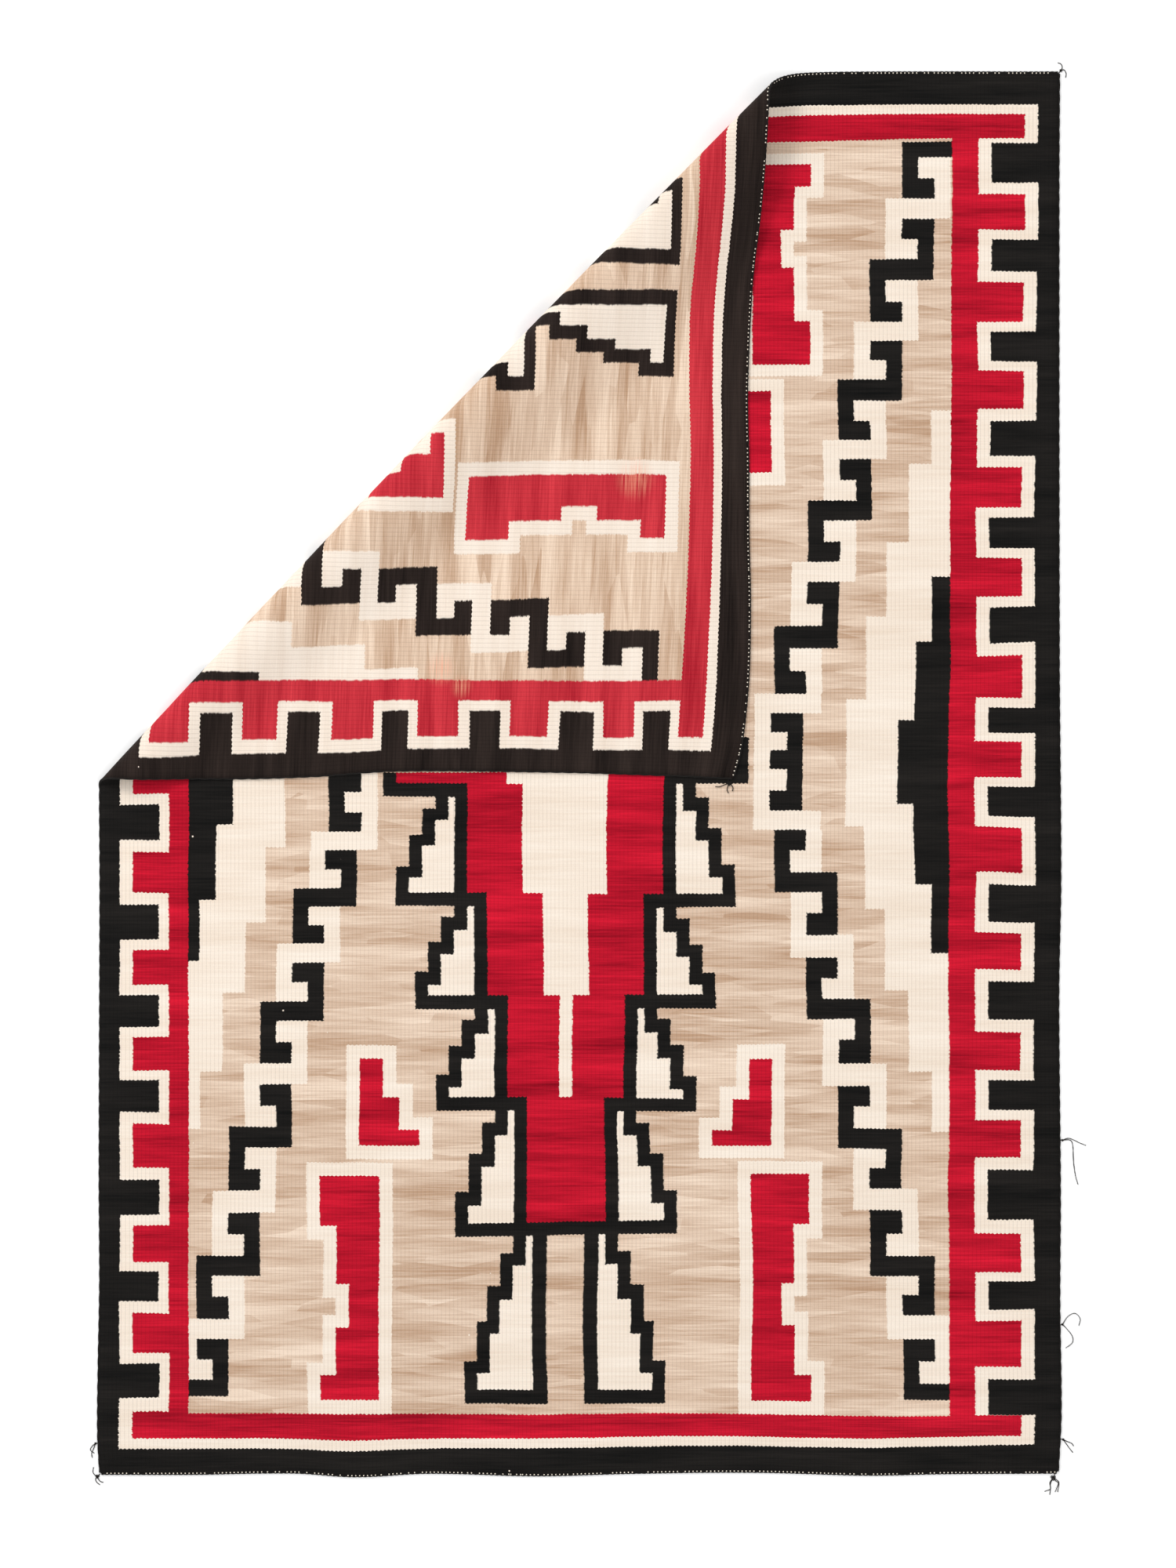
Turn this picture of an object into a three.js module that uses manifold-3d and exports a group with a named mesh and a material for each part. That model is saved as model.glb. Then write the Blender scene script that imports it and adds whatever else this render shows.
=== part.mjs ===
// A handwoven wool rug that lies flat, with its top left corner turned over to show the back.
// Millimetres, +Z up. The origin is the centre of the underside of the rug as it is laid out.
import * as THREE from "three";
import { mergeVertices } from "three/addons/utils/BufferGeometryUtils.js";
import Module from "manifold-3d";

// Driving sizes of the cloth as it came off the loom
const WIDTH = 1464;
const LENGTH = 2140;
const CLOTH = 3; // thickness of the tapestry weave
const LAYER_GAP = 0.6; // air between the turned corner and the cloth that it rests on
const EDGE_CORD = 3.4; // diameter of the twined cords along the four edges
const GAP = 0.5; // between pieces that touch on the real rug

// The turned corner: where its fold meets the left side and the top edge, from the corner
const FOLD_DOWN = 1083;
const FOLD_ACROSS = 1047;
const FOLD_BOW = 7; // how far the fold bows out at its middle
const SWEEP = { low: 0.196, high: 0.058 }; // sideways pull of the corner for each mm past the fold

// Section of the soft fold at shares of its length, from the left side to the top edge.
// lift: where the cloth leaves the floor, inside the outermost line; side: height of that line;
// shoulder, crown: how far back and how much higher the top is; land: where the layers meet.
const ROLL = [
  { at: 0.0, lift: 9, side: 9, shoulder: 24, crown: 16, land: 100 },
  { at: 0.15, lift: 16, side: 14, shoulder: 24, crown: 18, land: 125 },
  { at: 0.5, lift: 30, side: 27, shoulder: 20, crown: 20, land: 172 },
  { at: 0.85, lift: 42, side: 35, shoulder: 15, crown: 16, land: 196 },
  { at: 1.0, lift: 50, side: 40, shoulder: 12, crown: 13, land: 200 },
];
const ROLL_STEPS = { rise: 5, crown: 5, fall: 6 }; // rows of points round the fold

// How far each edge strays outwards from its straight line, at distances from the top left corner
const LEFT_EDGE = [
  { at: 0, out: -6 },
  { at: 110, out: -11 },
  { at: 300, out: -17 },
  { at: 560, out: -18 },
  { at: 700, out: -9 },
  { at: 850, out: -3 },
  { at: 1083, out: -0.6 },
  { at: 1240, out: -1.2 },
  { at: 1690, out: 0.1 },
  { at: 1850, out: -0.7 },
  { at: 1980, out: 1.6 },
  { at: 2080, out: 2.4 },
  { at: 2140, out: -0.6 },
];
const TOP_EDGE = [
  { at: 0, out: -16 },
  { at: 45, out: -6 },
  { at: 140, out: 0 },
  { at: 250, out: -3 },
  { at: 345, out: -10 },
  { at: 450, out: -15 },
  { at: 560, out: -21 },
  { at: 700, out: -19 },
  { at: 815, out: -11 },
  { at: 980, out: -7 },
  { at: 1090, out: -1 },
  { at: 1464, out: 0 },
];
const RIGHT_EDGE = [
  { at: 0, out: 0 },
  { at: 180, out: -1 },
  { at: 900, out: -0.4 },
  { at: 1230, out: 2 },
  { at: 1410, out: -1.2 },
  { at: 1710, out: 1.2 },
  { at: 1880, out: 0.4 },
  { at: 2050, out: 2.4 },
  { at: 2140, out: -1.8 },
];
const BOTTOM_EDGE = [
  { at: 0, out: 0.4 },
  { at: 140, out: 0.4 },
  { at: 295, out: -1.6 },
  { at: 390, out: 4.2 },
  { at: 500, out: -1.2 },
  { at: 670, out: 2.6 },
  { at: 820, out: -1.2 },
  { at: 1000, out: -2.8 },
  { at: 1170, out: 1.6 },
  { at: 1300, out: -0.6 },
  { at: 1464, out: -1.4 },
];
const EDGE_REACH = 150; // an edge's stray fades out this far into the cloth

const YARN = 1.4; // thickness of a tassel's strand and of a broken yarn end

// Knots with strands: one at each corner of the rug, and one where each broken yarn end comes out.
// x, y: centre of the knot; floor: height of what it lies on; strands: points from that centre.
const ON_FLOOR = 0;
const ON_CLOTH = CLOTH + GAP;
const TASSELS = [
  {
    name: "tassel_bottom_right",
    x: 725,
    y: -1078.5,
    across: 9,
    high: 6,
    floor: ON_FLOOR,
    strands: [
      [[-5, -8], [-4, -17], [-13, -21]],
      [[-4, -9], [-4, -17], [-5, -26]],
      [[4, -5], [8, -9], [3, -22]],
      [[5, -3], [9, -8], [7, -22]],
    ],
  },
  {
    name: "tassel_bottom_left",
    x: -737.5,
    y: -1076.5,
    across: 9,
    high: 6,
    floor: ON_FLOOR,
    strands: [
      [[2, -5], [5, -8], [9, -9]],
      [[-3, -4], [-1, -9], [4, -13]],
      [[-4, 2], [-7, 7], [-6, 14]],
    ],
  },
  {
    name: "tassel_top_right",
    x: 737,
    y: 1075,
    across: 8,
    high: 5,
    floor: ON_FLOOR,
    strands: [
      [[2, 5], [0, 10], [-5, 12]],
      [[5, 1], [8, -5], [7, -11]],
    ],
  },
  {
    name: "tassel_turned_corner",
    x: 229,
    y: -16,
    across: 8,
    high: 5,
    floor: ON_CLOTH,
    strands: [
      [[-2, -5], [-3, -10], [-1, -15]],
      [[-7, -2], [-14, -5], [-21, -5]],
      [[4, -3], [6, -7], [5, -12]],
    ],
  },
  {
    name: "yarn_end_upper",
    x: 739.2,
    y: -562,
    across: 4,
    high: 3,
    floor: ON_FLOOR,
    strands: [
      [[9, 3], [18, 0], [26, -4], [36, -8]],
      [[12, 0], [16, -9], [17, -32], [20, -54], [24, -68]],
    ],
  },
  {
    name: "yarn_end_middle",
    x: 739.4,
    y: -844,
    across: 4,
    high: 3,
    floor: ON_FLOOR,
    strands: [
      [[8, 12], [19, 17], [27, 9], [25, -2]],
      [[6, -6], [15, -18], [15, -28], [5, -36]],
    ],
  },
  {
    name: "yarn_end_lower",
    x: 740.4,
    y: -1020,
    across: 4,
    high: 3,
    floor: ON_FLOOR,
    strands: [
      [[6, -3], [13, -6], [16, -10]],
      [[5, -7], [10, -14], [15, -20]],
    ],
  },
  {
    name: "yarn_end_left",
    x: -740.4,
    y: -1026,
    across: 4,
    high: 3,
    floor: ON_FLOOR,
    strands: [
      [[-5, -4], [-8, -10], [-2, -15]],
      [[-3, -8], [-6, -15], [-5, -22]],
    ],
  },
];

const LEFT = -WIDTH / 2;
const RIGHT = WIDTH / 2;
const TOP = LENGTH / 2;
const BOTTOM = -LENGTH / 2;
const CLOTH_ROW = 95; // spacing of the rows of points on flat cloth
const CLOTH_COLUMNS = 16;
const RING_SIDES = 8;
const ROLL_SAMPLES = 24; // samples of each stretch of the fold's section
const PROBE = 0.4; // step for measuring the slope of the lying cloth

// Frame of the fold: its start on the left side, its run along e and its outward side n
const FOLD = makeFoldFrame();

function makeFoldFrame() {
  const length = Math.hypot(FOLD_ACROSS, FOLD_DOWN);
  const [ex, ey] = [FOLD_ACROSS / length, FOLD_DOWN / length];
  return { x: LEFT, y: TOP - FOLD_DOWN, ex, ey, nx: -ey, ny: ex, length };
}

function clamp(value, low, high) {
  return Math.min(Math.max(value, low), high);
}

// One named column of a table, on a smooth curve through its rows.
function valueAt(rows, at, name) {
  const last = rows.length - 1;
  let i = 0;
  while (i < last - 1 && rows[i + 1].at < at) i += 1;
  const [a, b] = [rows[i], rows[i + 1]];
  const slope = (j) => {
    const [p, q] = [rows[Math.max(j - 1, 0)], rows[Math.min(j + 1, last)]];
    return (q[name] - p[name]) / (q.at - p.at);
  };
  const gap = b.at - a.at;
  const f = clamp((at - a.at) / gap, 0, 1);
  const ease = f * f * (3 - 2 * f);
  const start = f * (1 - f) * (1 - f) * gap * slope(i);
  const end = -f * f * (1 - f) * gap * slope(i + 1);
  return a[name] + (b[name] - a[name]) * ease + start + end;
}

// Fold section at a share of its length: points with their distance out, height and run of cloth.
function rollSection(share) {
  const size = {};
  for (const name of ["lift", "side", "shoulder", "crown", "land"]) {
    size[name] = valueAt(ROLL, share, name);
  }
  const rest = CLOTH + LAYER_GAP;
  const top = size.side + size.crown;
  const stretches = [
    (f) => {
      const turn = (f * Math.PI) / 2;
      return [size.lift * (Math.sin(turn) - 1), size.side * (1 - Math.cos(turn))];
    },
    (f) => {
      const turn = (f * Math.PI) / 2;
      return [size.shoulder * (Math.cos(turn) - 1), size.side + size.crown * Math.sin(turn)];
    },
    (f) => {
      const fall = (1 + Math.cos(f * Math.PI)) / 2;
      return [-size.shoulder - f * (size.land - size.shoulder), rest + (top - rest) * fall];
    },
  ];
  const points = [{ out: -size.lift, up: 0, run: 0 }];
  for (const stretch of stretches) {
    for (let k = 1; k <= ROLL_SAMPLES; k += 1) {
      const [out, up] = stretch(k / ROLL_SAMPLES);
      const before = points[points.length - 1];
      const run = before.run + Math.hypot(out - before.out, up - before.up);
      points.push({ out, up, run });
    }
  }
  return points;
}

// Where the fold's section has used up a length of cloth, past its start on the floor.
function rollPoint(section, run) {
  const end = section[section.length - 1];
  if (run >= end.run) return { out: end.out - (run - end.run), up: end.up };
  let k = 1;
  while (section[k].run < run) k += 1;
  const [a, b] = [section[k - 1], section[k]];
  const f = (run - a.run) / (b.run - a.run);
  return { out: a.out + (b.out - a.out) * f, up: a.up + (b.up - a.up) * f };
}

function foldShare(along) {
  return clamp(along / FOLD.length, 0, 1);
}

function foldBow(share) {
  return FOLD_BOW * (1 - (2 * share - 1) ** 2);
}

// A point of the flat cloth, from the fold's frame, and back.
function flatPoint(along, over) {
  return [
    FOLD.x + along * FOLD.ex + over * FOLD.nx,
    FOLD.y + along * FOLD.ey + over * FOLD.ny,
  ];
}

function foldPlace(x, y) {
  const [dx, dy] = [x - FOLD.x, y - FOLD.y];
  return { along: dx * FOLD.ex + dy * FOLD.ey, over: dx * FOLD.nx + dy * FOLD.ny };
}

// Where a point of the flat cloth lies once the corner is turned, on the middle of its thickness.
function lay(x, y) {
  const { along, over } = foldPlace(x, y);
  const share = foldShare(along);
  const bow = foldBow(share);
  const run = over - bow + valueAt(ROLL, share, "lift");
  if (run <= 0) return new THREE.Vector3(x, y, CLOTH / 2);
  const { out, up } = rollPoint(rollSection(share), run);
  const sweep = (SWEEP.low + (SWEEP.high - SWEEP.low) * share) * run;
  const [px, py] = flatPoint(along - sweep, bow + out);
  return new THREE.Vector3(px, py, CLOTH / 2 + up);
}

function layNormal(x, y) {
  const du = lay(x + PROBE, y).sub(lay(x - PROBE, y));
  const dv = lay(x, y + PROBE).sub(lay(x, y - PROBE));
  return du.cross(dv).normalize();
}

// The flat cloth with the stray of its edges, fading inwards from each of them.
function stray(x, y) {
  const fade = (distance) => clamp(1 - distance / EDGE_REACH, 0, 1) ** 2;
  const down = TOP - y;
  const across = x - LEFT;
  const left = valueAt(LEFT_EDGE, down, "out") * fade(x - LEFT);
  const right = valueAt(RIGHT_EDGE, down, "out") * fade(RIGHT - x);
  const top = valueAt(TOP_EDGE, across, "out") * fade(TOP - y);
  const bottom = valueAt(BOTTOM_EDGE, across, "out") * fade(y - BOTTOM);
  return [x + right - left, y + top - bottom];
}

function solidMesh(name, geometry, colour) {
  geometry.computeVertexNormals();
  const finish = { color: colour, roughness: 0.95, metalness: 0 };
  const mesh = new THREE.Mesh(geometry, new THREE.MeshStandardMaterial(finish));
  mesh.name = name;
  return mesh;
}

function indexedGeometry(points, triangles) {
  const flat = points.flatMap((p) => [p.x, p.y, p.z]);
  const geometry = new THREE.BufferGeometry();
  geometry.setAttribute("position", new THREE.Float32BufferAttribute(flat, 3));
  const whole = triangles.filter(([a, b, c]) => a !== b && b !== c && c !== a);
  geometry.setIndex(whole.flat());
  return geometry;
}

// Diagonal rows of the cloth, from the turned corner to the far one: each gives its distance
// past the fold at a place along it.
function clothRows() {
  const rows = [];
  const tip = foldPlace(LEFT, TOP).over;
  const start = (along) => foldBow(foldShare(along)) - valueAt(ROLL, foldShare(along), "lift");
  const ofRoll = (index) => (along) => start(along) + rollSection(foldShare(along))[index].run;
  const landed = ofRoll(3 * ROLL_SAMPLES);
  for (const f of [1, 0.94, 0.86, 0.76, 0.64, 0.5, 0.34, 0.17]) {
    rows.push((along) => landed(along) + (tip - landed(along)) * f);
  }
  const stretches = [ROLL_STEPS.fall, ROLL_STEPS.crown, ROLL_STEPS.rise];
  stretches.forEach((steps, n) => {
    const from = (3 - n) * ROLL_SAMPLES;
    for (let k = 0; k < steps; k += 1) {
      rows.push(ofRoll(Math.round(from - (k * ROLL_SAMPLES) / steps)));
    }
  });
  rows.push(start);
  const stops = [
    [-CLOTH_ROW, foldPlace(RIGHT, TOP).over],
    [foldPlace(RIGHT, TOP).over, foldPlace(LEFT, BOTTOM).over],
    [foldPlace(LEFT, BOTTOM).over, foldPlace(RIGHT, BOTTOM).over],
  ];
  for (const [from, to] of stops) {
    const steps = Math.round((from - to) / CLOTH_ROW);
    for (let k = 0; k < steps; k += 1) {
      const over = from + ((to - from) * k) / steps;
      rows.push(() => over);
    }
  }
  const far = foldPlace(RIGHT, BOTTOM).over;
  rows.push(() => far);
  return rows;
}

// Where a diagonal row starts and ends on the edges of the flat cloth.
function rowEnds(row) {
  const reach = (x, y, pick) => (over) => {
    const byX = (x - FOLD.x - over * FOLD.nx) / FOLD.ex;
    const byY = (y - FOLD.y - over * FOLD.ny) / FOLD.ey;
    return pick(byX, byY);
  };
  const settle = (meet) => {
    let along = FOLD.length / 2;
    for (let pass = 0; pass < 12; pass += 1) along = meet(row(along));
    return along;
  };
  return [settle(reach(LEFT, BOTTOM, Math.max)), settle(reach(RIGHT, TOP, Math.min))];
}

function makeCloth() {
  const rows = clothRows();
  const points = [];
  const triangles = [];
  const index = rows.map((row, j) => {
    const tip = j === 0 || j === rows.length - 1;
    const [low, high] = rowEnds(row);
    const columns = [];
    for (let i = 0; i <= CLOTH_COLUMNS; i += 1) {
      if (tip && i > 0) {
        columns.push(columns[0]);
        continue;
      }
      const along = low + ((high - low) * i) / CLOTH_COLUMNS;
      const [x, y] = stray(...flatPoint(along, row(along)));
      const middle = lay(x, y);
      const half = layNormal(x, y).multiplyScalar(CLOTH / 2);
      columns.push(points.length);
      points.push(middle.clone().add(half), middle.clone().sub(half));
    }
    return columns;
  });
  const quad = (a, b, c, d) => triangles.push([a, b, c], [a, c, d]);
  for (let j = 0; j + 1 < rows.length; j += 1) {
    const [here, next] = [index[j], index[j + 1]];
    for (let i = 0; i < CLOTH_COLUMNS; i += 1) {
      quad(here[i], next[i], next[i + 1], here[i + 1]);
      quad(here[i + 1] + 1, next[i + 1] + 1, next[i] + 1, here[i] + 1);
    }
    const end = CLOTH_COLUMNS;
    quad(next[0], here[0], here[0] + 1, next[0] + 1);
    quad(here[end], next[end], next[end] + 1, here[end] + 1);
  }
  return solidMesh("cloth", indexedGeometry(points, triangles), 0xb3202f);
}

// The places where the cloth's rows end on one edge: a cord's rings stand at the same places,
// so cord and rim bend together.
function edgePlaces(edge) {
  const ends = clothRows().map((row) => rowEnds(row).map((along) => flatPoint(along, row(along))));
  const onLine = (a, b) => Math.abs(a - b) < 1e-6;
  const pick = {
    left: ends.map(([low]) => low).filter(([x]) => onLine(x, LEFT)),
    bottom: ends.map(([low]) => low).filter(([, y]) => onLine(y, BOTTOM)),
    top: ends.map(([, high]) => high).filter(([, y]) => onLine(y, TOP)),
    right: ends.map(([, high]) => high).filter(([x]) => onLine(x, RIGHT)),
  };
  return pick[edge];
}

// A closed tube whose rings stand square to its route.
function tubeGeometry(rings) {
  const points = rings.flat();
  const triangles = [];
  for (let j = 0; j + 1 < rings.length; j += 1) {
    for (let i = 0; i < RING_SIDES; i += 1) {
      const k = (i + 1) % RING_SIDES;
      const [a, b] = [j * RING_SIDES + i, j * RING_SIDES + k];
      triangles.push([a, b, b + RING_SIDES], [a, b + RING_SIDES, a + RING_SIDES]);
    }
  }
  const last = (rings.length - 1) * RING_SIDES;
  for (let i = 1; i + 1 < RING_SIDES; i += 1) {
    triangles.push([0, i + 1, i], [last, last + i, last + i + 1]);
  }
  return indexedGeometry(points, triangles);
}

// The twined cord of one edge, just outside the cloth's rim. outward points away from the rug.
function makeEdgeCord(name, places, outward) {
  const radius = EDGE_CORD / 2;
  const away = radius + GAP;
  const raise = radius - CLOTH / 2;
  const rings = places.map((place) => {
    const [x, y] = stray(...place);
    const up = layNormal(x, y);
    const edge = lay(x, y);
    const out = lay(x + outward[0], y + outward[1]).sub(lay(x, y));
    out.addScaledVector(up, -out.dot(up)).normalize();
    const floorUp = Math.sign(up.z || 1);
    const centre = edge.clone().addScaledVector(out, away).addScaledVector(up, raise * floorUp);
    const ring = [];
    for (let i = 0; i < RING_SIDES; i += 1) {
      const turn = ((i + 0.5) / RING_SIDES) * 2 * Math.PI;
      const spoke = radius / Math.cos(Math.PI / RING_SIDES);
      const point = centre.clone().addScaledVector(out, Math.cos(turn) * spoke);
      ring.push(point.addScaledVector(up, Math.sin(turn) * spoke));
    }
    return ring;
  });
  return solidMesh(name, tubeGeometry(rings), 0x1d1a18);
}

const wasm = await Module();
wasm.setup();

function toSolid(geometry) {
  const bare = geometry.clone();
  bare.deleteAttribute("normal");
  bare.deleteAttribute("uv");
  const merged = mergeVertices(bare, 1e-4);
  return new wasm.Manifold(
    new wasm.Mesh({
      numProp: 3,
      vertProperties: new Float32Array(merged.attributes.position.array),
      triVerts: new Uint32Array(merged.index.array),
    }),
  );
}

function toGeometry(solid) {
  const { vertProperties, triVerts, numProp } = solid.getMesh();
  const geometry = new THREE.BufferGeometry();
  const position = [];
  for (let i = 0; i < vertProperties.length; i += numProp) {
    position.push(vertProperties[i], vertProperties[i + 1], vertProperties[i + 2]);
  }
  geometry.setAttribute("position", new THREE.Float32BufferAttribute(position, 3));
  geometry.setIndex([...triVerts]);
  return geometry;
}

// A knot: a squat ball with a small flat spot underneath.
function knotSolid(x, y, floor, across, high) {
  const ball = new THREE.SphereGeometry(0.5, 10, 7);
  ball.scale(across, across, high * 1.15);
  ball.translate(x, y, floor + high * 0.5);
  const position = ball.attributes.position;
  for (let i = 0; i < position.count; i += 1) {
    if (position.getZ(i) < floor) position.setZ(i, floor);
  }
  return toSolid(ball);
}

// A strand of yarn that lies level, square in section, along a smooth route of x, y points.
function strandSolid(route, floor, thick) {
  const points = route.map(([x, y]) => new THREE.Vector3(x, y, floor + thick / 2));
  const curve = new THREE.CatmullRomCurve3(points);
  const steps = Math.max(3, route.length * 2 - 2);
  const rings = [];
  for (let k = 0; k <= steps; k += 1) {
    const centre = curve.getPoint(k / steps);
    const run = curve.getTangent(k / steps);
    const side = new THREE.Vector3(run.y, -run.x, 0).normalize();
    const half = thick / 2;
    const corners = [[1, -1], [-1, -1], [-1, 1], [1, 1]];
    const ring = corners.map(([s, u]) => {
      const point = centre.clone().addScaledVector(side, s * half);
      return point.setZ(point.z + u * half);
    });
    rings.push(ring);
  }
  const triangles = [];
  for (let j = 0; j < steps; j += 1) {
    for (let i = 0; i < 4; i += 1) {
      const [a, b] = [j * 4 + i, j * 4 + ((i + 1) % 4)];
      triangles.push([a, b, b + 4], [a, b + 4, a + 4]);
    }
  }
  const last = steps * 4;
  triangles.push([0, 2, 1], [0, 3, 2], [last, last + 1, last + 2], [last, last + 2, last + 3]);
  return toSolid(indexedGeometry(rings.flat(), triangles));
}

// Strands that lie level, with their roots fused into one knot. Each strand gives its points
// from the knot's centre; its first point is that centre.
function makeTassel({ name, x, y, across, high, floor, strands }) {
  let solid = knotSolid(x, y, floor, across, high);
  for (const strand of strands) {
    const route = [[0, 0], ...strand].map(([dx, dy]) => [x + dx, y + dy]);
    solid = solid.add(strandSolid(route, floor, YARN));
  }
  return solidMesh(name, toGeometry(solid), 0x1d1a18);
}

const rug = new THREE.Group();
rug.add(makeCloth());
rug.add(
  makeEdgeCord("end_cord_top", edgePlaces("top"), [0, 1]),
  makeEdgeCord("end_cord_bottom", edgePlaces("bottom").reverse(), [0, -1]),
  makeEdgeCord("side_cord_left", edgePlaces("left").reverse(), [-1, 0]),
  makeEdgeCord("side_cord_right", edgePlaces("right"), [1, 0]),
);
for (const tassel of TASSELS) rug.add(makeTassel(tassel));

export default rug;
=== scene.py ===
# %% [markdown]
# # A handwoven wool rug with one corner folded over
#
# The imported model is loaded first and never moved. Its solids say where everything lies, and this
# lesson dresses them: the cloth, the twined cords round its rim, and the loose ends of yarn.

# %% Load the frame
import math
import random

import bmesh
import bpy
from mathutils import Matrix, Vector


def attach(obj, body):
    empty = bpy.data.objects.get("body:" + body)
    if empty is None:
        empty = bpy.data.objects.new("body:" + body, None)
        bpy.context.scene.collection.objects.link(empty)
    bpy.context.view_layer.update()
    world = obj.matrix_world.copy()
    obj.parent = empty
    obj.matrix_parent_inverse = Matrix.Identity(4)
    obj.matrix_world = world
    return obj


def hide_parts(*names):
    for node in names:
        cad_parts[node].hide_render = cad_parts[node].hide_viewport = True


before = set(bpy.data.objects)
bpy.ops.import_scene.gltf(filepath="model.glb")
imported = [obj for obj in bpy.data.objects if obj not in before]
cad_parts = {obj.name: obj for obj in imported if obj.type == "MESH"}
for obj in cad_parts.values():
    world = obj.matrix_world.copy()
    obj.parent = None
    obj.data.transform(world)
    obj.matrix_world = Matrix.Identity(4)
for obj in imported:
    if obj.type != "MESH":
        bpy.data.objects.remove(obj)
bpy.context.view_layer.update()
print("nodes:", sorted(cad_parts))

# %% [markdown]
# ## The camera
#
# A rug is photographed from straight above, from far enough away that its sides stay straight.
# The camera stands 5.7 m over the floor, a little off the middle of the rug.

# %% Camera
CAMERA_AT = (0.0132, -0.0168, 5.7)
camera_data = bpy.data.cameras.new("camera")
camera_data.sensor_fit = "VERTICAL"
camera_data.sensor_height = 36
camera_data.lens = 85.5
camera = bpy.data.objects.new("camera", camera_data)
camera.location = CAMERA_AT
bpy.context.scene.collection.objects.link(camera)
bpy.context.scene.camera = camera
print("camera at", CAMERA_AT)

# %% [markdown]
# ## The flat cloth
#
# The sizes are those of the source of the solids, here in metres. Everything about the rug is
# thought of flat first: a point of the flat cloth has an x and a y, and `lay` says where it ends up
# once the corner is folded.

# %% Sizes
WIDTH, LENGTH, CLOTH, LAYER_GAP = 1.464, 2.140, 0.003, 0.0006
EDGE_CORD, GAP = 0.0034, 0.0005
LEFT, RIGHT, TOP, BOTTOM = -WIDTH / 2, WIDTH / 2, LENGTH / 2, -LENGTH / 2
FOLD_DOWN, FOLD_ACROSS, FOLD_BOW = 1.083, 1.047, 0.007
SWEEP_LOW, SWEEP_HIGH = 0.196, 0.058  # sideways pull for each metre past the fold
EDGE_REACH = 0.150

# Columns: share of the fold's length, lift, side, shoulder, crown, land (millimetres)
ROLL = [
    (0.00, 9, 9, 24, 16, 100),
    (0.15, 16, 14, 24, 18, 125),
    (0.50, 30, 27, 20, 20, 172),
    (0.85, 42, 35, 15, 16, 196),
    (1.00, 50, 40, 12, 13, 200),
]

# Stray of each edge. Columns: distance from the top left corner, outwards (millimetres)
LEFT_EDGE = [(0, -6), (110, -11), (300, -17), (560, -18), (700, -9), (850, -3), (1083, -0.6),
             (1240, -1.2), (1690, 0.1), (1850, -0.7), (1980, 1.6), (2080, 2.4), (2140, -0.6)]
TOP_EDGE = [(0, -16), (45, -6), (140, 0), (250, -3), (345, -10), (450, -15), (560, -21), (700, -19),
            (815, -11), (980, -7), (1090, -1), (1464, 0)]
RIGHT_EDGE = [(0, 0), (180, -1), (900, -0.4), (1230, 2), (1410, -1.2), (1710, 1.2), (1880, 0.4),
              (2050, 2.4), (2140, -1.8)]
BOTTOM_EDGE = [(0, 0.4), (140, 0.4), (295, -1.6), (390, 4.2), (500, -1.2), (670, 2.6), (820, -1.2),
               (1000, -2.8), (1170, 1.6), (1300, -0.6), (1464, -1.4)]


# %% A smooth curve through a table's rows
def value_at(rows, at, column=1):
    """One column of a table at a place, on a smooth curve through its rows."""
    last = len(rows) - 1
    i = 0
    while i < last - 1 and rows[i + 1][0] < at:
        i += 1

    def slope(j):
        p, q = rows[max(j - 1, 0)], rows[min(j + 1, last)]
        return (q[column] - p[column]) / (q[0] - p[0])

    gap = rows[i + 1][0] - rows[i][0]
    f = min(max((at - rows[i][0]) / gap, 0), 1)
    ease = f * f * (3 - 2 * f)
    start = f * (1 - f) ** 2 * gap * slope(i)
    end = -f * f * (1 - f) * gap * slope(i + 1)
    return rows[i][column] + (rows[i + 1][column] - rows[i][column]) * ease + start + end


print("the top edge strays", value_at(TOP_EDGE, 300), "mm at 300 mm")

# %% [markdown]
# ## The fold
#
# Wool tapestry is stiff, so it doesn't crease: it rolls over in a soft hump. The hump's section is
# two quarter ellipses and a long slope down to the cloth below. It is tight and low at the left
# side, and open and high at the top edge.
#
# The turned corner is also pulled sideways, so that its rims lie where they do on the real rug.
# This shears it and isn't free of stretch: the turned part of the left rim is laid 9 % shorter than
# it is flat, and that of the top rim 5 % longer. The area stays the same.

# %% Lay the cloth
FOLD_LENGTH = math.hypot(FOLD_ACROSS, FOLD_DOWN)
EX, EY = FOLD_ACROSS / FOLD_LENGTH, FOLD_DOWN / FOLD_LENGTH
NX, NY = -EY, EX
FOLD_X, FOLD_Y = LEFT, TOP - FOLD_DOWN
SECTION_SAMPLES = 24
sections = {}


def section(share):
    """The hump's section at a share of the fold: distance out, height and run of cloth."""
    key = round(share, 3)
    if key in sections:
        return sections[key]
    lift, side, shoulder, crown, land = (value_at(ROLL, key, c) / 1000 for c in range(1, 6))
    rest, top = CLOTH + LAYER_GAP, side + crown
    points = [(-lift, 0.0, 0.0)]
    for stretch in range(3):
        for k in range(1, SECTION_SAMPLES + 1):
            f = k / SECTION_SAMPLES
            turn = f * math.pi / 2
            if stretch == 0:
                out, up = lift * (math.sin(turn) - 1), side * (1 - math.cos(turn))
            elif stretch == 1:
                out, up = shoulder * (math.cos(turn) - 1), side + crown * math.sin(turn)
            else:
                out = -shoulder - f * (land - shoulder)
                up = rest + (top - rest) * (1 + math.cos(f * math.pi)) / 2
            before = points[-1]
            run = before[2] + math.hypot(out - before[0], up - before[1])
            points.append((out, up, run))
    sections[key] = points
    return points


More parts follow.
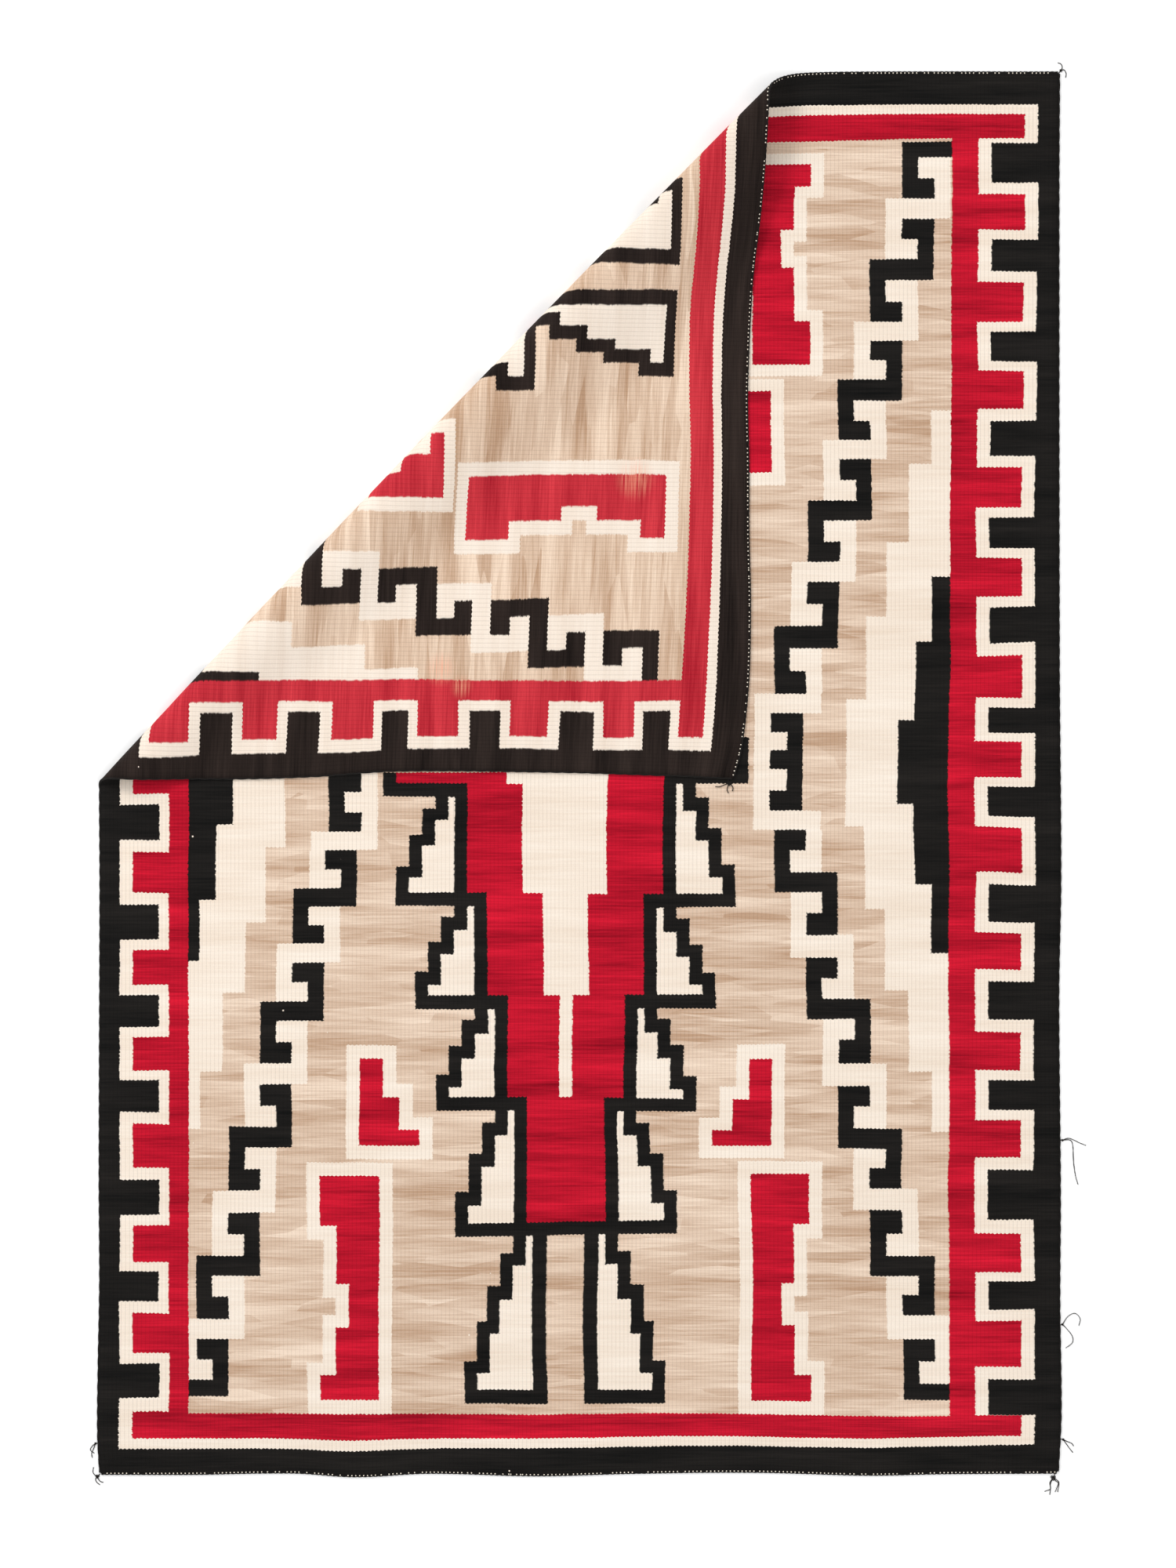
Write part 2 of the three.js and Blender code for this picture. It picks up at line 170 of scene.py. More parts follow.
def lay(x, y):
    """Where a point of the flat cloth lies, on the middle of its thickness."""
    dx, dy = x - FOLD_X, y - FOLD_Y
    along, over = dx * EX + dy * EY, dx * NX + dy * NY
    share = min(max(along / FOLD_LENGTH, 0), 1)
    bow = FOLD_BOW * (1 - (2 * share - 1) ** 2)
    run = over - bow + value_at(ROLL, share, 1) / 1000
    if run <= 0:
        return Vector((x, y, CLOTH / 2))
    points = section(share)
    if run >= points[-1][2]:
        out, up = points[-1][0] - (run - points[-1][2]), points[-1][1]
    else:
        k = 1
        while points[k][2] < run:
            k += 1
        a, b = points[k - 1], points[k]
        f = (run - a[2]) / (b[2] - a[2])
        out, up = a[0] + (b[0] - a[0]) * f, a[1] + (b[1] - a[1]) * f
    sweep = (SWEEP_LOW + (SWEEP_HIGH - SWEEP_LOW) * share) * run
    along, over = along - sweep, bow + out
    return Vector((
        FOLD_X + along * EX + over * NX, FOLD_Y + along * EY + over * NY, CLOTH / 2 + up))


def stray(x, y):
    """The flat cloth with the stray of its edges, which fades inwards."""
    def fade(distance):
        return min(max(1 - distance / EDGE_REACH, 0), 1) ** 2 / 1000

    down, across = (TOP - y) * 1000, (x - LEFT) * 1000
    left = value_at(LEFT_EDGE, down) * fade(x - LEFT)
    right = value_at(RIGHT_EDGE, down) * fade(RIGHT - x)
    top = value_at(TOP_EDGE, across) * fade(TOP - y)
    bottom = value_at(BOTTOM_EDGE, across) * fade(y - BOTTOM)
    return x + right - left, y + top - bottom


def lay_normal(x, y, probe=0.0004):
    du = lay(x + probe, y) - lay(x - probe, y)
    dv = lay(x, y + probe) - lay(x, y - probe)
    return du.cross(dv).normalized()


print("the folded corner lies at", [round(v, 4) for v in lay(*stray(LEFT, TOP))])

# %% [markdown]
# ## Colours
#
# Colours are written as the sRGB hex values a screen shows, and one function turns them into the
# linear values that the shaders count in.

# %% Colour and node helpers
def linear(hex_value):
    parts = [int(hex_value[i:i + 2], 16) / 255 for i in (1, 3, 5)]
    return [p / 12.92 if p <= 0.04045 else ((p + 0.055) / 1.055) ** 2.4 for p in parts] + [1]


def add(tree, kind, inputs=(), output=0, **settings):
    """Adds one node with its settings and links, and gives one of its outputs.

    An input is a socket to link or a plain value to set.
    """
    node = tree.nodes.new("ShaderNode" + kind)
    for name, value in settings.items():
        setattr(node, name, value)
    for key, value in (inputs.items() if isinstance(inputs, dict) else enumerate(inputs)):
        if isinstance(value, bpy.types.NodeSocket):
            tree.links.new(value, node.inputs[key])
        else:
            node.inputs[key].default_value = value
    return node.outputs[output] if node.outputs else None


print("ivory is", [round(v, 3) for v in linear("#EFE4D2")])

# %% [markdown]
# ## The pattern
#
# The pattern is woven in, so it is exactly as crisp as the yarn: an edge that runs along the weft
# shows the bumps of the warps, and one that crosses it shows small teeth where the wefts turn back.
# It is laid out as a weaver counts it, from a few motifs that repeat: toothed sides, stepped
# terraces, a column of frets, notched bars and a stack of tiers with stepped feathers. Each is a
# function with sizes rounded to about 5 mm, drawn for one quarter and mirrored in both directions.

# %% Pattern sizes (millimetres)
BLACK, IVORY, RED, BEIGE = 0, 1, 2, 3
HALF_WIDTH, HALF_LENGTH = 732, 1070
MIDDLE = (-20, 20)  # the weaver's middle, a little off the cloth's own
SIDES = {
    "left": dict(border=30, line=20, tooth=60, outline=15, band=30),
    "right": dict(border=35, line=20, tooth=70, outline=20, band=40),
}
ENDS = {"top": dict(border=45, line=15, band=40), "bottom": dict(border=40, line=15, band=35)}
TEETH = dict(pitch=150, black=55, red=60, first=65)  # first: from the middle, both ways
BAND_INSIDE = 585  # from the middle to the inner edge of the side bands
UNDER_BAND = 25  # how far motifs reach under the side bands, which are painted later
BAND_INSET = 20  # of the red band at each end, inside the side's border
OVERHANG = 50  # how far the black borders are painted past the rim
OUTLINE = 20

# %% [markdown]
# ### Drawing with nodes
#
# A rectangle is two Compare nodes, one for each direction, multiplied into a mask. Painting is
# one Mix from the yarn that is there to the yarn of the rectangle.


# %% A chart of yarns
class Chart:
    """A chart of yarns that is painted rectangle by rectangle."""

    def __init__(self, tree, ground):
        self.tree, self.yarn = tree, ground

    def box(self, u, v, u0, u1, v0, v1):
        """The mask of a rectangle: 1 inside it, 0 outside."""
        strips = [add(self.tree, "Math", (value, (low + high) / 2, (high - low) / 2),
                      operation="COMPARE") for value, low, high in ((u, u0, u1), (v, v0, v1))]
        return add(self.tree, "Math", strips, operation="MULTIPLY")

    def paint(self, mask, yarn):
        self.yarn = add(self.tree, "Mix", {0: mask, 2: self.yarn, 3: yarn})


# %% [markdown]
# ### Terraces, tiers and bars
#
# A stepped shape is a short list of steps. The outline of a shape is the same shape, larger by the
# outline's width, painted first.

# %% Stepped motifs
# Columns: reach from the side band, up to this far from the middle
IVORY_TERRACE = [(155, 100), (125, 230), (95, 350), (60, 475), (25, 565)]
BLACK_TERRACE = [(75, 65), (50, 190), (25, 295)]
# Columns: half the width of the red, half the width of the ivory core, end
TIERS = [(260, 90, 15), (150, 65, 205), (120, 35, 360), (90, 10, 515), (60, 0, 705)]
# Columns: reach from the tier's outline, share of the way down at which that step ends
FEATHER_STEPS = [(30, 0.1), (50, 0.35), (70, 0.65), (90, 1.0)]
# Columns: reach from the leg's inner side, share of the way down
LEG_STEPS = [(50, 0.1), (70, 0.3), (90, 0.5), (105, 0.75), (125, 1.0)]
LEG_INSIDE, LEG_FOOT = 30, 985
# Columns: width of the red, from, to
BAR = [(90, 635, 710), (65, 710, 800), (45, 800, 865), (65, 865, 940), (90, 940, 980)]
BAR_INSIDE = 285
CORNER_PIECE = [(35, 455, 515), (60, 515, 565), (90, 565, 590)]
CORNER_OUTSIDE = 315


def paint_terraces(chart, u, v):
    for yarn, steps in ((IVORY, IVORY_TERRACE), (BLACK, BLACK_TERRACE)):
        for reach, to in steps:
            near, far = BAND_INSIDE - reach, BAND_INSIDE + UNDER_BAND
            chart.paint(chart.box(u, v, near, far, -1, to), yarn)


def paint_stair(chart, u, v, inside, steps, begin, foot, wall=0):
    """An ivory stair with a black outline: each wider step starts lower. wall: inner outline."""
    starts = [begin] + [begin + (foot - begin) * share for _, share in steps[:-1]]
    for (reach, _), start in zip(steps, starts):
        chart.paint(chart.box(u, v, inside - 2, inside + reach, start, foot), BLACK)
    for (reach, _), start in zip(steps, starts):
        low = begin if start == begin else start + OUTLINE
        edge = inside + reach - OUTLINE
        chart.paint(chart.box(u, v, inside + wall, edge, low, foot - OUTLINE), IVORY)


def paint_tiers(chart, u, v):
    feet = [end + OUTLINE for _, _, end in TIERS]
    for (half, _, _), begin, foot in zip(TIERS[1:], feet, feet[1:]):
        paint_stair(chart, u, v, half + OUTLINE, FEATHER_STEPS, begin, foot)
    for (half, _, _), foot in zip(TIERS, feet):
        chart.paint(chart.box(u, v, -1, half + OUTLINE, -1, foot), BLACK)
    for half, _, end in TIERS:
        chart.paint(chart.box(u, v, -1, half, -1, end), RED)
    for _, core, end in TIERS[:-1]:
        chart.paint(chart.box(u, v, -1, core, -1, end), IVORY)
    paint_stair(chart, u, v, LEG_INSIDE, LEG_STEPS, feet[-1], LEG_FOOT, wall=OUTLINE)


def paint_outlined(chart, u, v, edge, sign, steps):
    """A red stepped bar with an ivory outline. It reaches from edge to the side sign gives."""
    for yarn, o in ((IVORY, OUTLINE), (RED, 0)):
        for width, low, high in steps:
            near, far = sorted((edge - sign * o, edge + sign * (width + o)))
            chart.paint(chart.box(u, v, near, far, low - o, high + o), yarn)


print("terrace steps:", len(IVORY_TERRACE) + len(BLACK_TERRACE), "tiers:", len(TIERS))

# %% [markdown]
# ### The frets
#
# One fret fits in four columns and six rows. Each next one starts two columns further out, so the
# chain climbs towards the side. Because they all are the same, the place inside one fret is the
# place in the chain with the whole frets taken off.

# %% Frets
FRET_START, FRET_TOP, FRET_END, FRET_PITCH = 320, 105, 975, 195
FRET_ROW = FRET_PITCH / 6
FRET_COLUMN = 24.5
# Columns: from column, to column, from row, to row, yarn
FRET = [
    (1, 5, 5, 6, IVORY), (2, 3, 0, 2, IVORY), (1, 3, 1, 2, IVORY), (1, 2, 3, 6, IVORY),
    (1, 3, 3, 4, IVORY),
    (0, 1, 0, 3, BLACK), (0, 2, 0, 1, BLACK), (0, 4, 2, 3, BLACK),
    (3, 4, 2, 5, BLACK), (2, 4, 4, 5, BLACK),
]
# Where both chains meet on the middle line. Columns: from column, to column, from, to, yarn
FRET_MIDDLE = [(-1.3, -0.3, -1, 105, IVORY), (-1.3, 2.9, 75, 105, IVORY),
               (0.75, 1.75, -1, 75, BLACK), (-0.3, 0.8, -1, 15, BLACK), (-0.3, 0.8, 45, 75, BLACK),
               (-0.3, 0.75, 15, 45, IVORY)]


def paint_frets(chart, u, v):
    tree = chart.tree
    across = add(tree, "MapRange", (u, FRET_START, FRET_START + FRET_COLUMN), clamp=False)
    down = add(tree, "Math", (v, FRET_TOP), operation="SUBTRACT")
    frets = add(tree, "Math", (down, FRET_PITCH), operation="DIVIDE")
    which = add(tree, "Math", (frets,), operation="FLOOR")
    row = add(tree, "Math", (frets,), operation="FRACT")
    row = add(tree, "Math", (row, 6), operation="MULTIPLY")
    column = add(tree, "Math", (which, -2, across), operation="MULTIPLY_ADD")
    chain = chart.box(u, v, 0, BAND_INSIDE + UNDER_BAND, FRET_TOP, FRET_END)
    for c0, c1, r0, r1, yarn in FRET:
        fret = chart.box(column, row, c0, c1, r0, r1)
        chart.paint(add(tree, "Math", (fret, chain), operation="MULTIPLY"), yarn)
    for c0, c1, low, high, yarn in FRET_MIDDLE:
        chart.paint(chart.box(across, v, c0, c1, low, high), yarn)


print("a fret is", FRET_PITCH, "mm high and", 4 * FRET_COLUMN, "mm wide")

# %% [markdown]
# ### The toothed sides and plain ends
#
# Black teeth grow inwards from the black border and red ones outwards from the side band, and an
# ivory line winds between them. How far a row is from the middle of the nearest black tooth says
# which tooth it crosses.


# %% Borders
def paint_side(chart, x, v, edge, sign, size):
    """One side. edge is its x, and sign is +1 for the right side."""
    tree = chart.tree
    pitch = TEETH["pitch"]
    away = add(tree, "Math", (v, -TEETH["first"]), operation="ADD")
    away = add(tree, "Math", (away, pitch / 2), operation="PINGPONG")
    every, by_black = (-1, pitch), (-1, TEETH["black"] / 2)
    by_red = ((pitch - TEETH["red"]) / 2, pitch)
    border, line = size["border"], size["line"]
    tooth = border + size["tooth"]
    outline = tooth + size["outline"]
    for begin, end, (low, high), yarn in (
            (0, outline + size["band"], every, RED), (border, outline, every, IVORY),
            (border + line, outline, by_red, RED), (border - 1, tooth, by_black, BLACK),
            (-OVERHANG, border, every, BLACK)):
        near, far = sorted((edge - sign * begin, edge - sign * end))
        chart.paint(chart.box(x, away, near, far, low, high), yarn)


def paint_end(chart, x, y, edge, sign, size):
    """One end. Its line and band reach from one side's border to the other's."""
    left, right = SIDES["left"]["border"] - HALF_WIDTH, HALF_WIDTH - SIDES["right"]["border"]
    line = size["border"] + size["line"]
    for begin, end, inset, yarn in (
            (size["border"], line, 0, IVORY), (line, line + size["band"], BAND_INSET, RED),
            (-OVERHANG, size["border"], -2 * OVERHANG, BLACK)):
        near, far = sorted((edge - sign * begin, edge - sign * end))
        chart.paint(chart.box(x, y, left + inset, right - inset, near, far), yarn)


print("the left side is", sum(SIDES["left"].values()), "mm wide")

# %% [markdown]
# ### Rows that wander
#
# No row of a handwoven rug is quite straight, and no two repeats are the same height. The upper
# half is beaten tighter. The rows of the left side sag round the middle, and the right chain of
# frets lies further from it, above the middle. The upper left leans towards the middle, and slow
# noise moves everything by a few millimetres. Only where a row or column lies is changed, so the
# motifs stay as they are.

# %% Where a point lies in the pattern
TIGHT, TIGHTER = 0.95, 0.93  # height of the upper half's motifs, and of its left bars
TIGHTENING = 8e-5  # a millimetre: how its tiers and right bars get tighter towards the top
SAG, SAG_LEFT_OVER = 34, 0.55  # of the left side's rows, and the share that stays near the top
TIER_SAG = 19  # of the left side of the first tiers
HEM = 4  # how far the upper left's border lies inwards
CHAIN_SHIFT = 20  # of the right frets above the middle
SIDE_LEAN = 0.006  # of the borders, to the right, above the middle
INWARD = 20  # how far the upper left's motifs lean towards the middle
BARS_SHARE = 0.4  # of that lean, which the bars take
TOP_DIP = -90  # round this x the top end's lines lie further inwards
# Where each of these begins and where it is full
SAG_BELOW, SAG_ABOVE, TIER_SAG_ROWS = (-450, -50), (650, 100), (200, 60)
CHAIN_ROWS, HEM_ROWS, INWARD_ROWS = (60, 300), (0, 300), (350, 900)
# How far noise moves columns and rows, and makes the sides' teeth uneven (millimetres)
COLUMN_NOISE, ROW_NOISE = (("columns", 12), ("wobble", 2)), (("rows", 18), ("wobble", -2))
TEETH_NOISE = 60
RIB_MM = 6.2  # two warps, as the bumps at the edges show; single warps hardly show
WEFT_MM = 1.4  # two wefts of a guessed 0.7 mm, drawn this coarse so that they show
# Slow and fine noises. Columns: cycles in a millimetre across and up, detail, roughness
NOISES = {
    "columns": (0.0030, 0.0040, 1.0, 0.5),
    "rows": (0.0015, 0.0080, 1.0, 0.5),
    "teeth": (0.0007, 0.0070, 0.0, 0.5),
    "wobble": (0.020, 0.016, 1.0, 0.5),
    "streak": (0.010, 0.33, 3.0, 0.7),
    "abrash": (0.0030, 0.030, 2.0, 0.5),
    "heather": (0.5, 0.9, 2.0, 0.7),
}


def pattern_place(tree, x, y, noise, tooth_depth):
    """The x and y in the pattern of a point of the flat cloth."""
    # short teeth or bumps at every edge of a colour, each row and rib a little different
    lines = {}
    for name, at, pitch, depth, stray_mm in (
            ("teeth", y, WEFT_MM, tooth_depth, 1.6), ("bumps", x, RIB_MM / 2, 0.5, 0.6)):
        pair = add(tree, "Math", (at, 2 * pitch), operation="DIVIDE")
        pair = add(tree, "Math", (pair,), operation="FLOOR")
        chance = add(tree, "TexWhiteNoise", {"W": pair}, noise_dimensions="1D")
        saw = add(tree, "Math", (at, pitch), operation="PINGPONG")
        saw = add(tree, "Math", (saw, depth), operation="MULTIPLY")
        lines[name] = add(tree, "Math", (chance, stray_mm, saw), operation="MULTIPLY_ADD")
    px, py = x, y
    for name, reach in COLUMN_NOISE:
        px = add(tree, "Math", (noise[name], reach, px), operation="MULTIPLY_ADD")
        px = add(tree, "Math", (px, -reach / 2), operation="ADD")
    for name, reach in ROW_NOISE:
        py = add(tree, "Math", (noise[name], reach, py), operation="MULTIPLY_ADD")
        py = add(tree, "Math", (py, -reach / 2), operation="ADD")
    px = add(tree, "Math", (px, lines["teeth"]), operation="ADD")
    py = add(tree, "Math", (py, lines["bumps"]), operation="ADD")
    return px, py


print(len(NOISES), "noises")

# %% [markdown]
# ### The whole chart
#
# The quarter's motifs are painted one over the other, and the borders last, because they cover
# what reaches under them.


# %% Paint the chart
def paint_rug(tree, x, y, px, py, noise):
    chart = Chart(tree, BEIGE)
    across = add(tree, "Math", (px, MIDDLE[0]), operation="SUBTRACT")
    u = add(tree, "Math", (across,), operation="ABSOLUTE")
    left = add(tree, "Math", (across, 0), operation="LESS_THAN")
    inward = add(tree, "Math", (left, INWARD), operation="MULTIPLY")
    inward = add(tree, "MapRange", (y, *INWARD_ROWS, 0, inward))
    u_bars = add(tree, "Math", (inward, BARS_SHARE, u), operation="MULTIPLY_ADD")
    u = add(tree, "Math", (u, inward), operation="ADD")

    # the rows of the left side sag round the middle, and the frets and terraces up to the top
    low = add(tree, "MapRange", (y, *SAG_BELOW, 0, left), interpolation_type="SMOOTHSTEP")
    left_over = add(tree, "Math", (low, SAG_LEFT_OVER), operation="MULTIPLY")
    spread = []
    for at_top, share in ((left_over, TIGHT), (0, TIGHT), (None, TIGHTER)):
        rows = py
        if at_top is not None:
            sag = add(tree, "MapRange", (y, *SAG_ABOVE, at_top, low),
                      interpolation_type="SMOOTHSTEP")
            rows = add(tree, "Math", (sag, SAG, py), operation="MULTIPLY_ADD")
        up = add(tree, "Math", (rows, MIDDLE[1]), operation="SUBTRACT")
        above = add(tree, "Math", (up, 0), operation="GREATER_THAN")
        factor = add(tree, "Math", (above, 1 / share - 1, 1), operation="MULTIPLY_ADD")
        up = add(tree, "Math", (up,), operation="ABSOLUTE")
        spread.append(add(tree, "Math", (up, factor), operation="MULTIPLY"))
    v, v_teeth, v_bars = spread
    # up and above are still those of the rows that don't sag
    squared = add(tree, "Math", (up, up), operation="MULTIPLY")
    tighter = add(tree, "Math", (above, TIGHTENING), operation="MULTIPLY")
    v_tiers = add(tree, "Math", (squared, tighter, up), operation="MULTIPLY_ADD")
    v_bars = add(tree, "Mix", {0: left, 2: v_tiers, 3: v_bars})
    tier_sag = add(tree, "Math", (left, -TIER_SAG), operation="MULTIPLY")
    tier_sag = add(tree, "MapRange", (v_tiers, *TIER_SAG_ROWS, 0, tier_sag))
    v_tiers = add(tree, "Math", (v_tiers, tier_sag), operation="ADD")
    right = add(tree, "Math", (across, 0), operation="GREATER_THAN")
    drift = add(tree, "Math", (right, above), operation="MULTIPLY")
    drift = add(tree, "Math", (drift, -CHAIN_SHIFT), operation="MULTIPLY")
    drift = add(tree, "MapRange", (v, *CHAIN_ROWS, 0, drift))
    v_frets = add(tree, "Math", (v, drift), operation="ADD")

    paint_terraces(chart, u, v)
    paint_frets(chart, u, v_frets)
    paint_tiers(chart, u, v_tiers)
    paint_outlined(chart, u_bars, v_bars, BAR_INSIDE, 1, BAR)
    paint_outlined(chart, u_bars, v_bars, CORNER_OUTSIDE, -1, CORNER_PIECE)

    # teeth of uneven height, and borders that lean a little to the right above the middle
    uneven = add(tree, "Math", (noise["teeth"], TEETH_NOISE, v_teeth), operation="MULTIPLY_ADD")
    uneven = add(tree, "Math", (uneven, -TEETH_NOISE / 2), operation="ADD")
    lean = add(tree, "Math", (y, 0), operation="MAXIMUM")
    border_x = add(tree, "Math", (lean, -SIDE_LEAN, px), operation="MULTIPLY_ADD")
    hem = add(tree, "Math", (left, -HEM), operation="MULTIPLY")
    hem = add(tree, "MapRange", (y, *HEM_ROWS, 0, hem))
    border_x = add(tree, "Math", (border_x, hem), operation="ADD")
    # the top end's lines follow its rim, which curves inwards left of the middle
    off = add(tree, "Math", (x, -TOP_DIP), operation="ADD")
    off = add(tree, "Math", (off,), operation="ABSOLUTE")
    top_y = py
    for value, nought, full, reach in ((off, 220, 0, 5), (x, 270, 150, 3)):
        follow = add(tree, "MapRange", (value, nought, full, 0, reach),
                     interpolation_type="SMOOTHSTEP")
        top_y = add(tree, "Math", (top_y, follow), operation="ADD")
    paint_side(chart, border_x, uneven, -HALF_WIDTH, -1, SIDES["left"])
    paint_side(chart, border_x, uneven, HALF_WIDTH, 1, SIDES["right"])
    paint_end(chart, border_x, top_y, HALF_LENGTH, 1, ENDS["top"])
    paint_end(chart, border_x, py, -HALF_LENGTH, -1, ENDS["bottom"])
    return chart.yarn


# %% [markdown]
# ## Wool materials
#
# The face and the back of a tapestry carry the same pattern, and the back has kept its colours less
# evenly. Both materials share one recipe: the yarn's colour, streaks along the weft where the dye
# or the natural wool varies, and the ribs of the weave as bump. Wool is matt, with a soft sheen.

# %% Yarn colours and the cloth's material
# Each yarn has a darker and a lighter tone, from one batch of wool or dye to the next
FACE = {"black": ("#0A0B0B", "#252220"), "ivory": ("#ECDAC7", "#FBEFE1"),
        "red": ("#86041A", "#E21B36"), "beige": ("#BC997D", "#F3DDC8")}
BACK = {"black": ("#150F0D", "#352B27"), "ivory": ("#EBDAC9", "#F9ECDE"),
        "red": ("#A61929", "#DC3F49"), "beige": ("#BB977A", "#F4DCC5")}
# Pale stains on the back. Columns: x, y, radius
STAINS = [(-305, 880, 38), (-600, 610, 22), (-575, 575, 30)]
STAIN = "#F0A98A"
# Worn spots, from a place's x + y. Where they begin, where they are at their most, their share
WORN_FROM, WORN_MOST, WORN_SHARE = -300, -1500, 0.45
SPOT_RADIUS = 0.04  # of the width of a Voronoi cell
# How strongly each yarn's tone follows the streaks, the slow bands and the patches
UNEVEN = {"streak": 1.5, "abrash": 1.5, "patch": 0.4}


def wool_cloth(name, colours, tooth_depth, stains=()):
    material = bpy.data.materials.new(name)
    material.use_nodes = True
    tree = material.node_tree
    tree.nodes.clear()
    flat = add(tree, "UVMap", uv_map="flat")
    flat_mm = add(tree, "VectorMath", {0: flat, "Scale": 1000.0}, operation="SCALE")
    x, y = (add(tree, "SeparateXYZ", (flat_mm,), axis) for axis in ("X", "Y"))
    noise = {}
    for what, (across, up, detail, roughness) in NOISES.items():
        place = add(tree, "Mapping", {"Vector": flat_mm, "Scale": (across, up, 1)})
        noise[what] = add(tree, "TexNoise", {
            "Vector": place, "Scale": 1.0, "Detail": detail, "Roughness": roughness})
    px, py = pattern_place(tree, x, y, noise, tooth_depth)
    yarn_here = paint_rug(tree, x, y, px, py, noise)

    # worn spots, where a pale warp shows: only towards the bottom left corner
    place = add(tree, "Mapping", {"Vector": flat_mm, "Scale": (0.03, 0.03, 1)})
    spots = {what: add(tree, "TexVoronoi", {"Vector": place, "Scale": 1.0}, what)
             for what in ("Distance", "Color")}
    chance = add(tree, "SeparateColor", (spots["Color"],), 1)
    corner = add(tree, "Math", (x, y), operation="ADD")
    share = add(tree, "MapRange", (corner, WORN_FROM, WORN_MOST, 0, WORN_SHARE))
    worn = add(tree, "Math", (chance, share), operation="LESS_THAN")
    speck = add(tree, "Math", (spots["Distance"], SPOT_RADIUS), operation="LESS_THAN")
    worn = add(tree, "Math", (worn, speck), operation="MULTIPLY")
    yarn_here = add(tree, "Mix", {0: worn, 2: yarn_here, 3: IVORY})

    # patches like lenses, where the weaver built up one part before the next with wool from
    # another batch: they only show in the beige
    place = add(tree, "Mapping", {"Vector": flat_mm, "Scale": (0.008, 0.065, 1)})
    cells = add(tree, "TexVoronoi", {"Vector": place, "Scale": 1.0}, "Color")
    patch = add(tree, "SeparateColor", (cells,))
    is_beige = add(tree, "Math", (yarn_here, BEIGE, 0.5), operation="COMPARE")
    patch = add(tree, "Mix", {0: is_beige, 2: 0.5, 3: patch})
    tone = 0.5
    for what, value in (("streak", noise["streak"]), ("abrash", noise["abrash"]), ("patch", patch)):
        part = add(tree, "Math", (value, 0.5), operation="SUBTRACT")
        tone = add(tree, "Math", (part, UNEVEN[what], tone), operation="MULTIPLY_ADD",
                   use_clamp=what == "patch")

    # the colour of the yarn, from its number and its tone
    colour = linear(colours["black"][0])
    for number, yarn in enumerate(("black", "ivory", "red", "beige")):
        dark, light = (linear(hex_value) for hex_value in colours[yarn])
        shade = add(tree, "Mix", {0: tone, 6: dark, 7: light}, 2, data_type="RGBA")
        is_it = add(tree, "Math", (yarn_here, number, 0.5), operation="COMPARE")
        colour = add(tree, "Mix", {0: is_it, 6: colour, 7: shade}, 2, data_type="RGBA")

    # a stain is strongest in its middle and breaks up along the wefts
    broken = add(tree, "MapRange", (noise["streak"], 0.4, 0.6, 0, 0.8))
    for sx, sy, radius in stains:
        far = add(tree, "VectorMath", (flat_mm, (sx, sy, 0)), "Value", operation="DISTANCE")
        stain = add(tree, "MapRange", (far, radius, 0, 0, 0.9), interpolation_type="SMOOTHSTEP")
        stain = add(tree, "Math", (stain, broken), operation="MULTIPLY")
        colour = add(tree, "Mix", {0: stain, 6: colour, 7: linear(STAIN)}, 2, data_type="RGBA")

    # ribs over the warps, and the short stitches of the weft across them
    height = -0.5
    for at, pitch, share in ((x, RIB_MM, 0.35), (x, RIB_MM / 2, 0.25), (y, WEFT_MM, 0.3)):
        wave = add(tree, "Math", (at, math.pi / pitch), operation="MULTIPLY")
        wave = add(tree, "Math", (wave,), operation="SINE")
        wave = add(tree, "Math", (wave,), operation="ABSOLUTE")
        height = add(tree, "Math", (wave, share, height), operation="MULTIPLY_ADD")
    height = add(tree, "Math", (noise["heather"], 0.8, height), operation="MULTIPLY_ADD")
    # painted shade and highlights: the grooves between the stitches are painted darker, and the
    # fibres painted lighter or darker as if they catch the light unevenly
    light = add(tree, "MapRange", (height, -0.1, 0.8, 0.82, 1.10))
    shade_and_highlight = add(tree, "CombineColor", (light, light, light))
    colour = add(tree, "Mix", {0: 1.0, 6: colour, 7: shade_and_highlight}, 2, data_type="RGBA",
                 blend_type="MULTIPLY")
    bump = add(tree, "Bump", {"Height": height, "Strength": 0.6, "Distance": 0.0006})
    shader = add(tree, "BsdfPrincipled", {
        "Base Color": colour, "Roughness": 0.95, "Sheen Weight": 0.02, "Sheen Roughness": 0.5,
        "Specular IOR Level": 0.1, "Normal": bump})
    add(tree, "OutputMaterial", (shader,))
    print(name, "has", len(tree.nodes), "nodes")
    return material


# the teeth are longer on the back, where the wefts turn from one warp to the next
face_material = wool_cloth("wool_tapestry_face", FACE, tooth_depth=0.9)
back_material = wool_cloth("wool_tapestry_back", BACK, tooth_depth=1.6, stains=STAINS)

# %% [markdown]
# ## The cloth
#
# The cloth is one grid of small squares. Its flat place is kept as a UV map, which the materials
# read, and then each point is laid. Solidify gives the 3 mm of wool, with the back's material on
# the other side.

# %% Cloth mesh
SQUARE = 0.009


def link(name, mesh):
    piece = bpy.data.objects.new(name, mesh)
    bpy.context.scene.collection.objects.link(piece)
    return piece


